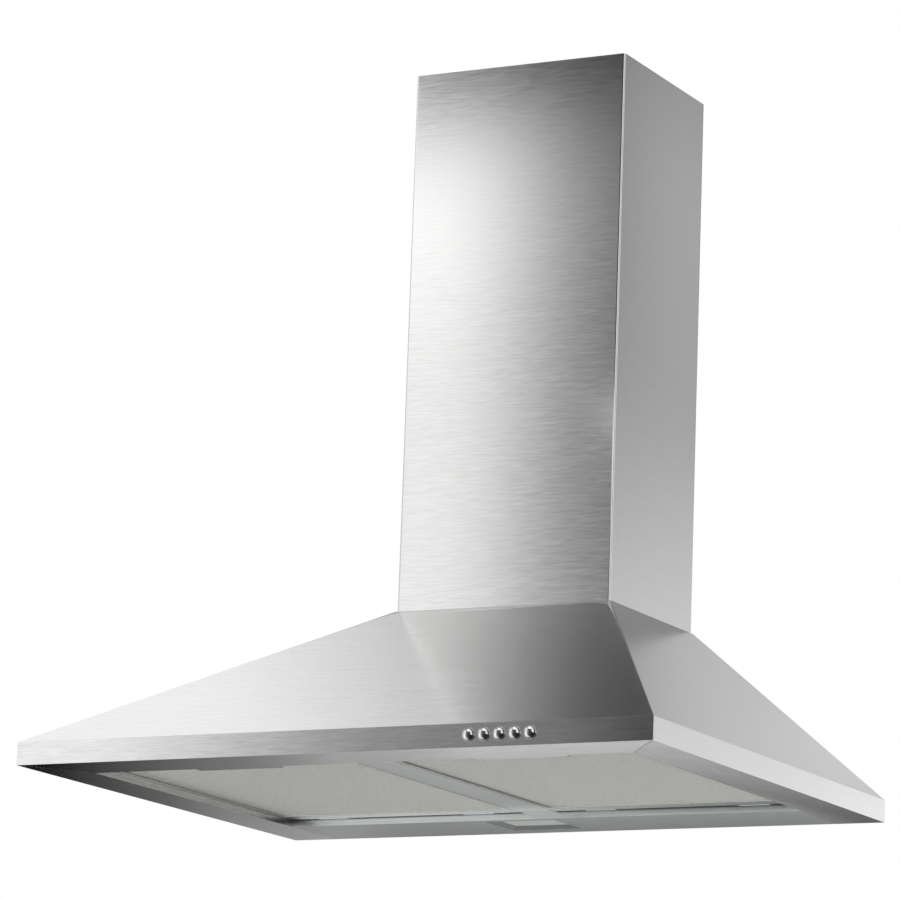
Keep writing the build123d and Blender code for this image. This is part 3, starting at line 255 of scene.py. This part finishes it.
floor_z = -5.5
floor_reach = 40.0
form = bmesh.new()
bmesh.ops.create_grid(form, x_segments=1, y_segments=1, size=floor_reach,
                      matrix=Matrix.Translation((0, 0, floor_z)))
floor_mesh = bpy.data.meshes.new("floor")
form.to_mesh(floor_mesh)
form.free()
floor = bpy.data.objects.new("floor", floor_mesh)
scene.collection.objects.link(floor)
floor_paint = bpy.data.materials.new("floor_paint")
floor_paint.use_nodes = True
floor_shader = floor_paint.node_tree.nodes["Principled BSDF"]
floor_shader.inputs["Base Color"].default_value = (0.86, 0.86, 0.86, 1)
floor_shader.inputs["Roughness"].default_value = 0.8
floor_mesh.materials.append(floor_paint)


# ---- Canopy and chimney covers ----
# Sheets of 0.8 mm stainless steel, folded and welded, then brushed so that a fine grain runs level round
# the outside. Under the lip the grain follows each folded flange up to its mitre.
def finish(name):
    """An empty material, ready for its nodes."""
    material = bpy.data.materials.new(name)
    material.use_nodes = True
    material.node_tree.nodes.clear()
    return material


def surface(tree, values, relief, strength, depth=0.0002):
    """The shader, with its relief, as the material's output."""
    bump = wire(tree, "ShaderNodeBump", {"Strength": strength, "Distance": depth, "Height": relief})
    shader = wire(tree, "ShaderNodeBsdfPrincipled", {**values, "Normal": bump.outputs["Normal"]})
    wire(tree, "ShaderNodeOutputMaterial", {"Surface": shader.outputs[0]})


def coordinates(tree, kind):
    return wire(tree, "ShaderNodeTexCoord").outputs[kind]


def parts_of(tree, vector):
    return wire(tree, "ShaderNodeSeparateXYZ", {0: vector}).outputs


def calculate_vector(tree, operation, first, second=(0, 0, 0)):
    node = wire(tree, "ShaderNodeVectorMath", {0: first, 1: second}, operation=operation)
    return node.outputs["Value" if operation == "DOT_PRODUCT" else "Vector"]


def between(tree, factor, first, second, kind="RGBA"):
    """Mixes two colours, values or vectors."""
    return wire(tree, "ShaderNodeMix", {"Factor": factor, "A": first, "B": second},
                data_type=kind).outputs["Result"]


def noise(tree, place, scale, detail):
    return wire(tree, "ShaderNodeTexNoise", {
        "Vector": place, "Scale": scale, "Detail": detail}).outputs["Fac"]


def spread(tree, value, low, high):
    """Takes the middle part of a noise, where nearly all of it lies, to the range given."""
    return rescale(tree, value, 0.3, 0.7, low, high)


def grain_axes(tree, lay):
    """The direction across the grain, and the place measured along it, across it and off the sheet.

    The grain runs level on upright and sloping sheets. On a flat one, lay is across the grain.
    """
    place = coordinates(tree, "Object")
    normal = coordinates(tree, "Normal")
    tilt = calculate_vector(tree, "MULTIPLY", lay, (0.001, 0.001, 0.001))
    upward = calculate_vector(tree, "ADD", (0, 0, 1), tilt)
    along = calculate_vector(tree, "CROSS_PRODUCT", normal, upward)
    along = calculate_vector(tree, "NORMALIZE", along)
    across = calculate_vector(tree, "CROSS_PRODUCT", normal, along)
    steps = wire(tree, "ShaderNodeCombineXYZ", {
        "X": calculate_vector(tree, "DOT_PRODUCT", place, along),
        "Y": calculate_vector(tree, "DOT_PRODUCT", place, across),
        "Z": calculate_vector(tree, "DOT_PRODUCT", place, normal),
    }).outputs[0]
    return across, steps


def grain(tree, steps, length, width):
    """Straight streaks from 0 to 1, each about as long and exactly as wide as given."""
    line_shift = 7.3        # noise apart, so that one line's streaks say nothing of the next one's
    sheet_shift = 40.0      # noise per metre off the sheet, so that parallel sheets differ
    steps = parts_of(tree, steps)
    line = calculate(tree, "FLOOR", calculate(tree, "DIVIDE", steps["Y"], width))
    place = wire(tree, "ShaderNodeCombineXYZ", {
        "X": calculate(tree, "DIVIDE", steps["X"], length),
        "Y": calculate(tree, "MULTIPLY", line, line_shift),
        "Z": calculate(tree, "MULTIPLY", steps["Z"], sheet_shift),
    }).outputs[0]
    return noise(tree, place, 1.0, 1.0)


def brushed_steel(name, dark, light, roughness, lay):
    """Streaks of two widths, which show less on the hood's sides than on its front."""
    side_loss = 0.35
    material = finish(name)
    tree = material.node_tree
    across, steps = grain_axes(tree, lay(tree) if callable(lay) else lay)
    fine = grain(tree, steps, length=0.018, width=0.0009)
    broad = grain(tree, steps, length=0.040, width=0.0023)
    streaks = between(tree, 0.3, fine, broad, "FLOAT")
    facing = calculate(tree, "ABSOLUTE", parts_of(tree, coordinates(tree, "Normal"))["X"])
    low = rescale(tree, facing, 0.0, 1.0, 0.0, side_loss)
    high = rescale(tree, facing, 0.0, 1.0, 1.0, 1.0 - side_loss)
    surface(tree, {
        "Base Color": between(tree, spread(tree, streaks, low, high), dark, light),
        "Metallic": 1.0,
        "Roughness": spread(tree, streaks, roughness - 0.02, roughness + 0.02),
        "Anisotropic": 0.6,
        "Tangent": across,
    }, fine, strength=0.01, depth=0.00005)
    return material


def mitre_lay(tree):
    """Across the front flange's grain, or the side flanges' beyond the mitre at each front corner."""
    side_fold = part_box("lamp_panel")[1].x
    front_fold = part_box("left_filter_frame")[0].y
    place = parts_of(tree, coordinates(tree, "Object"))
    sideways = calculate(tree, "ABSOLUTE", place["X"])
    sideways = rescale(tree, sideways, side_fold, cad_high.x, 0.0, 1.0, clamp=False)
    forwards = rescale(tree, place["Y"], front_fold, cad_low.y, 0.0, 1.0, clamp=False)
    side = calculate(tree, "GREATER_THAN", sideways, forwards)
    return between(tree, side, across_front, across_side, "VECTOR")


def dress(names, material, bend=0.0):
    """Gives CAD nodes a finish and rounds their bends."""
    for name in names:
        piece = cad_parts[name]
        piece.data.materials.clear()
        piece.data.materials.append(material)
        if bend:
            piece.modifiers.new("weld", "WELD").merge_threshold = 0.000002
            edge = piece.modifiers.new("bend", "BEVEL")
            edge.width = bend
            edge.segments = 2
            edge.limit_method = "ANGLE"
            edge.angle_limit = math.radians(30)
            piece.modifiers.new("shade", "WEIGHTED_NORMAL").keep_sharp = False


across_front = (0, 1, 0)
across_side = (1, 0, 0)
steel_bend = 0.0007
steel_dark = (0.66, 0.66, 0.655, 1)
steel_light = (0.78, 0.78, 0.775, 1)
canopy_steel = brushed_steel("brushed_steel", steel_dark, steel_light, roughness=0.18, lay=mitre_lay)
cover_steel = brushed_steel("cover_steel", steel_dark, steel_light, roughness=0.18, lay=across_front)
dress(["canopy"], canopy_steel, steel_bend)
dress(["outer_chimney", "inner_chimney"], cover_steel)


# ---- Lamp panel, filter divider and latch plates ----
# Plain satin steel: the fixed tray behind the filters, the bar between them and the plate that holds each
# filter's finger slot. The grain is faint and runs the hood's width.
satin_steel = brushed_steel("satin_steel", (0.60, 0.62, 0.62, 1), (0.66, 0.68, 0.675, 1),
                            roughness=0.22, lay=across_front)
dress(["lamp_panel", "filter_divider", "left_latch_plate", "right_latch_plate"], satin_steel)


# ---- Filter frames ----
# Folded aluminium channels with a satin mill finish, a little lighter along the worn folds.
def worn(tree):
    """From 0 on open faces upwards along edges, broken up so that the wear looks uneven."""
    wear_width = 0.0004
    most_wear = 0.7
    rounded = wire(tree, "ShaderNodeBevel", {"Radius": wear_width}, samples=4).outputs["Normal"]
    flat = wire(tree, "ShaderNodeNewGeometry").outputs["Normal"]
    match = calculate_vector(tree, "DOT_PRODUCT", rounded, flat)
    edge = rescale(tree, match, 0.99, 0.80, 0.0, 1.0)
    patchy = spread(tree, noise(tree, coordinates(tree, "Object"), 160.0, 3.0), 0.3, 1.0)
    wear = calculate(tree, "MULTIPLY", edge, patchy)
    return calculate(tree, "MULTIPLY", wear, most_wear)


def mottled(name, dark, light, scale, roughness, metallic=0.0, bump=0.1, wear=None,
            stretch=(1, 1, 1), gloss=0.5):
    """A finish whose colour, roughness and relief follow one noise, with edges that may be worn lighter."""
    material = finish(name)
    tree = material.node_tree
    place = calculate_vector(tree, "MULTIPLY", coordinates(tree, "Object"), stretch)
    mottle = noise(tree, place, scale, 4.0)
    colour = between(tree, spread(tree, mottle, 0.0, 1.0), dark, light)
    if wear:
        colour = between(tree, worn(tree), colour, wear)
    surface(tree, {
        "Base Color": colour,
        "Metallic": metallic,
        "Roughness": spread(tree, mottle, roughness - 0.05, roughness + 0.05),
        "Specular IOR Level": gloss,
    }, mottle, bump)
    return material


frame_aluminium = mottled("frame_aluminium", (0.56, 0.57, 0.555, 1), (0.66, 0.67, 0.655, 1),
                          scale=420.0, roughness=0.22, metallic=1.0, bump=0.15, wear=(0.80, 0.80, 0.79, 1))
dress(["left_filter_frame", "right_filter_frame"], frame_aluminium)


# ---- Filter packs ----
# Each pack is a ribbed expanded sheet below, a flat one above and a crimped core between them. The core is
# coloured near black as painted shade deep inside the pack. The sheets are slit and stretched, so every
# strand leans the same way. Each stops short of the latch.
def strand_cell(form, across, along, half_width, lean):
    """One diamond of expanded metal: four strands that meet at the middle and at the corners."""
    outline = [
        (0, 0, 0), (half_width, 0, 0), (across / 2, along / 2 - lean, -lean),
        (across / 2, along / 2, 0), (across / 2 - half_width, along / 2, 0), (0, lean, lean),
    ]
    for mirror in (1, -1):
        for turn in (1, -1):
            points = [form.verts.new((mirror * x, turn * y, turn * z)) for x, y, z in outline]
            for ring in (points[:4], points[3:] + points[:1]):
                form.faces.new(ring if mirror * turn > 0 else ring[::-1])


def repeat(form, count, step):
    """Repeats the whole form in a row, centred on where it was."""
    pattern = form.verts[:] + form.edges[:] + form.faces[:]
    for i in range(1, count):
        copy = bmesh.ops.duplicate(form, geom=pattern)["geom"]
        points = [v for v in copy if isinstance(v, bmesh.types.BMVert)]
        bmesh.ops.translate(form, vec=step * i, verts=points)
    bmesh.ops.translate(form, vec=-step * ((count - 1) / 2), verts=form.verts)


def latch_hole(side):
    """The cut-out round the latch, a little larger than its plate."""
    low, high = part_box(side + "_latch_plate")
    room = Vector((0.0002, 0.0002, 0))
    return low - room, high + room


def carve(form, low, high):
    """Removes the faces whose middle lies over an upright box."""
    middles = [(face, face.calc_center_median()) for face in form.faces]
    inside = [face for face, at in middles if low.x < at.x < high.x and low.y < at.y < high.y]
    bmesh.ops.delete(form, geom=inside, context="FACES")


def keep(form, side, name, material):
    """Turns a form into a piece that rides on its filter."""
    mesh = bpy.data.meshes.new(name)
    form.to_mesh(mesh)
    form.free()
    piece = bpy.data.objects.new(name, mesh)
    scene.collection.objects.link(piece)
    mesh.materials.append(material)
    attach(piece, side + "_filter")
    return piece


def expanded_sheet(side, name, half_width, lean, rib, height):
    """Expanded metal whose knots stand below its strands by the height of a rib."""
    low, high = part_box(side + "_filter_mesh")
    width = high.x - low.x
    length = high.y - low.y
    columns = int(width / diamond_w)
    rows = int(length / diamond_l)
    form = bmesh.new()
    strand_cell(form, width / columns, length / rows, half_width, lean)
    for v in form.verts:
        v.co.z -= rib * math.cos(4 * math.pi * v.co.x * columns / width)
    repeat(form, columns, Vector((width / columns, 0, 0)))
    repeat(form, rows, Vector((0, length / rows, 0)))
    bmesh.ops.remove_doubles(form, verts=form.verts, dist=0.00002)
    bmesh.ops.translate(form, vec=((low.x + high.x) / 2, (low.y + high.y) / 2, height), verts=form.verts)
    carve(form, *latch_hole(side))
    piece = keep(form, side, name, mesh_aluminium)
    plate = piece.modifiers.new("thickness", "SOLIDIFY")
    plate.thickness = sheet_thickness
    plate.offset = 0.0
    return piece


def crimped_core(side):
    """Thin foil folded to and fro, which fills the pack between its sheets."""
    low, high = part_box(side + "_filter_mesh")
    crimps = int((high.y - low.y) / crimp_pitch)
    form = bmesh.new()
    bmesh.ops.create_grid(form, x_segments=32, y_segments=2 * crimps, size=0.5)
    bmesh.ops.scale(form, vec=high - low, verts=form.verts)
    bmesh.ops.translate(form, vec=(low + high) / 2, verts=form.verts)
    lines = sorted({round(v.co.y, 6) for v in form.verts})
    for v in form.verts:
        is_peak = lines.index(round(v.co.y, 6)) % 2
        v.co.z = high.z - core_inset if is_peak else low.z + core_inset
    carve(form, *latch_hole(side))
    keep(form, side, side + "_filter_core", core_shade_aluminium)


def expanded_aluminium(knot_z, depth):
    """The sheet's own pale grey at the knots, darkened by painted shade up the recessed strands between
    them.
    """
    material = finish("mesh_aluminium")
    tree = material.node_tree
    place = coordinates(tree, "Object")
    patches = noise(tree, place, 240.0, 3.0)
    bright = between(tree, spread(tree, patches, 0.0, 1.0), (0.90, 0.915, 0.86, 1), (0.98, 0.99, 0.94, 1))
    # Painted shade: the colour goes from the pale grey at the knots to near black higher up, in the
    # recesses.
    recess_shade = rescale(tree, parts_of(tree, place)["Z"], knot_z, knot_z + depth, 0.0, 1.0)
    surface(tree, {
        "Base Color": between(tree, recess_shade, bright, (0.22, 0.23, 0.21, 1)),
        "Metallic": 0.4,
        "Roughness": spread(tree, patches, 0.30, 0.40),
    }, patches, strength=0.1)
    return material


diamond_w = 0.0097
diamond_l = 0.0044
sheet_thickness = 0.0003
face_rib = 0.0012
face_inset = 0.0015
back_inset = 0.0005
core_inset = 0.0016
crimp_pitch = 0.007
# Where the painted shade on the expanded sheets begins above the pack's bottom, and how deep it runs.
shade_start_inset = 0.0004
painted_shade_depth = 0.0014
pack_low, pack_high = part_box("left_filter_mesh")
mesh_aluminium = expanded_aluminium(pack_low.z + shade_start_inset, painted_shade_depth)
# Painted shade: the crimped core is coloured near black, so the holes in the sheets read as shade deep in
# the pack.
core_shade_aluminium = mottled("core_shade_aluminium", (0.10, 0.105, 0.095, 1), (0.18, 0.185, 0.17, 1),
                         scale=900.0, roughness=0.55, metallic=0.7, bump=0.6)
for side in ("left", "right"):
    face = expanded_sheet(side, side + "_filter_face", half_width=0.0011, lean=0.0006, rib=face_rib,
                          height=pack_low.z + face_inset)
    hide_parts(side + "_filter_mesh")
    expanded_sheet(side, side + "_filter_back", half_width=0.0013, lean=0.0002, rib=0.0,
                   height=pack_high.z - back_inset)
    crimped_core(side)


# ---- Filter hooks and latches ----
# Bright spring steel hooks and latch springs, and moulded grey guides and sliders with a fine spark
# texture. The wiring box and its cover are of the same plastic.
spring_steel = mottled("spring_steel", (0.42, 0.43, 0.45, 1), (0.56, 0.57, 0.59, 1),
                       scale=260.0, roughness=0.24, metallic=1.0, bump=0.08, stretch=(1, 6, 6))
grey_plastic = mottled("grey_plastic", (0.36, 0.38, 0.38, 1), (0.42, 0.44, 0.44, 1),
                       scale=1400.0, roughness=0.46, bump=0.35, wear=(0.52, 0.54, 0.54, 1))
dress(["left_filter_hooks", "right_filter_hooks", "left_latch_spring", "right_latch_spring"], spring_steel)
dress(["left_latch_guide", "right_latch_guide", "left_latch_slider", "right_latch_slider", "terminal_box",
       "terminal_cover"], grey_plastic)


# ---- Buttons and bezels ----
# Polished chrome domes, each in a thin chromed ring, with the faint smears that fingers leave.
chrome = mottled("chrome", (0.72, 0.72, 0.73, 1), (0.80, 0.80, 0.81, 1),
                 scale=180.0, roughness=0.10, metallic=1.0, bump=0.01)
dress(["light_button", "stop_button", "low_speed_button", "mid_speed_button", "high_speed_button",
       "button_bezels"], chrome)


# ---- Lamp ----
# A frosted diffuser with a fine prismatic relief, clipped into a grey moulded frame. Behind it stand a
# sheet metal box and a white board with yellow light-emitting chips.
def prismatic_lens():
    """Ridges both ways, with painted shade that leaves the grooves between them darker than the ridges."""
    material = finish("prismatic_lens")
    tree = material.node_tree
    place = coordinates(tree, "Object")
    ridges = [wire(tree, "ShaderNodeTexWave", {"Vector": place, "Scale": 110.0}, bands_direction=axis)
              for axis in ("X", "Y")]
    relief = calculate(tree, "MULTIPLY", ridges[0].outputs["Fac"], ridges[1].outputs["Fac"])
    # The colour follows the ridges: painted shade darkens the grooves.
    surface(tree, {
        "Base Color": between(tree, relief, (0.50, 0.52, 0.49, 1), (0.60, 0.615, 0.59, 1)),
        "Roughness": 0.35,
        "Transmission Weight": 0.12,
        "IOR": 1.49,
        "Specular IOR Level": 0.2,
        "Subsurface Weight": 0.2,
        "Subsurface Scale": 0.002,
    }, relief, strength=0.3)
    return material


def light_board():
    """White solder mask with dull copper tracks; the chips that stand below it are phosphor yellow."""
    chip_depth = 0.0011
    material = finish("light_board")
    tree = material.node_tree
    place = coordinates(tree, "Object")
    tracks = wire(tree, "ShaderNodeTexBrick", {
        "Vector": place, "Scale": 90.0, "Mortar Size": 0.03, "Color1": (0.80, 0.81, 0.79, 1),
        "Color2": (0.84, 0.85, 0.83, 1), "Mortar": (0.62, 0.60, 0.50, 1),
    }).outputs
    chip_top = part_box("led_board")[0].z + chip_depth
    chip = calculate(tree, "LESS_THAN", parts_of(tree, place)["Z"], chip_top)
    surface(tree, {
        "Base Color": between(tree, chip, tracks["Color"], (0.82, 0.66, 0.16, 1)),
        "Roughness": 0.38,
    }, tracks["Fac"], strength=0.2, depth=0.0001)
    return material


bezel_plastic = mottled("bezel_plastic", (0.13, 0.14, 0.138, 1), (0.18, 0.19, 0.186, 1),
                        scale=1200.0, roughness=0.40, bump=0.25, wear=(0.36, 0.38, 0.37, 1), gloss=0.15)
dress(["lamp_bezel"], bezel_plastic)
dress(["lamp_lens"], prismatic_lens())
dress(["led_board"], light_board())


# ---- Galvanised sheet parts ----
# Brackets, boxes and clips of zinc-coated sheet, with the leafy spangle of hot dipping.
def galvanised_sheet():
    """Leaves of different greys under a fine frost."""
    material = finish("galvanised_sheet")
    tree = material.node_tree
    place = coordinates(tree, "Object")
    cells = wire(tree, "ShaderNodeTexVoronoi", {"Vector": place, "Scale": 130.0}, feature="F1").outputs
    leaf = wire(tree, "ShaderNodeSeparateColor", {"Color": cells["Color"]}).outputs["Red"]
    frost = noise(tree, place, 1500.0, 3.0)
    shade = between(tree, 0.35, leaf, frost, "FLOAT")
    surface(tree, {
        "Base Color": between(tree, shade, (0.46, 0.48, 0.50, 1), (0.70, 0.72, 0.74, 1)),
        "Metallic": 1.0,
        "Roughness": rescale(tree, shade, 0.0, 1.0, 0.34, 0.52),
    }, cells["Distance"], strength=0.15)
    return material


dress(["hanging_plate", "wall_bracket", "switch_cradle", "blower_box", "lamp_housing", "capacitor_clip"],
      galvanised_sheet())


# ---- Blower, duct collar and electrical parts ----
# Black glass-filled mouldings, a painted motor with ground shaft and sintered bushes, a white capacitor can
# and zinc-plated screws.
black_plastic = mottled("black_plastic", (0.030, 0.031, 0.033, 1), (0.055, 0.056, 0.060, 1),
                        scale=700.0, roughness=0.48, bump=0.3, wear=(0.11, 0.11, 0.115, 1),
                        stretch=(1, 1, 0.4))
motor_paint = mottled("motor_paint", (0.24, 0.25, 0.27, 1), (0.31, 0.32, 0.34, 1),
                      scale=520.0, roughness=0.40, bump=0.25, wear=(0.48, 0.48, 0.49, 1))
white_plastic = mottled("white_plastic", (0.72, 0.72, 0.69, 1), (0.79, 0.79, 0.76, 1),
                        scale=60.0, roughness=0.36, bump=0.05)
sintered_bronze = mottled("sintered_bronze", (0.42, 0.29, 0.13, 1), (0.60, 0.44, 0.22, 1),
                          scale=2600.0, roughness=0.42, metallic=1.0, bump=0.5)
ground_steel = mottled("ground_steel", (0.56, 0.56, 0.57, 1), (0.70, 0.70, 0.71, 1),
                       scale=300.0, roughness=0.22, metallic=1.0, bump=0.06, stretch=(0.2, 4, 4))
zinc_plate = mottled("zinc_plate", (0.58, 0.59, 0.58, 1), (0.74, 0.75, 0.73, 1),
                     scale=900.0, roughness=0.30, metallic=1.0, bump=0.1, wear=(0.84, 0.84, 0.83, 1))
dress(["switch_block", "duct_collar", "front_flap", "rear_flap", "scroll_front", "scroll_rear",
       "blower_wheel", "terminal_strip", "cable_gland", "gland_nut"], black_plastic)
dress(["motor_case", "motor_spider"], motor_paint)
dress(["capacitor"], white_plastic)
dress(["motor_bushes"], sintered_bronze)
dress(["flap_pin", "motor_shaft"], ground_steel)
dress(["switch_screws", "blower_box_screws", "collar_screws", "casing_screws", "scroll_screws",
       "motor_screws"], zinc_plate)

bpy.context.view_layer.update()
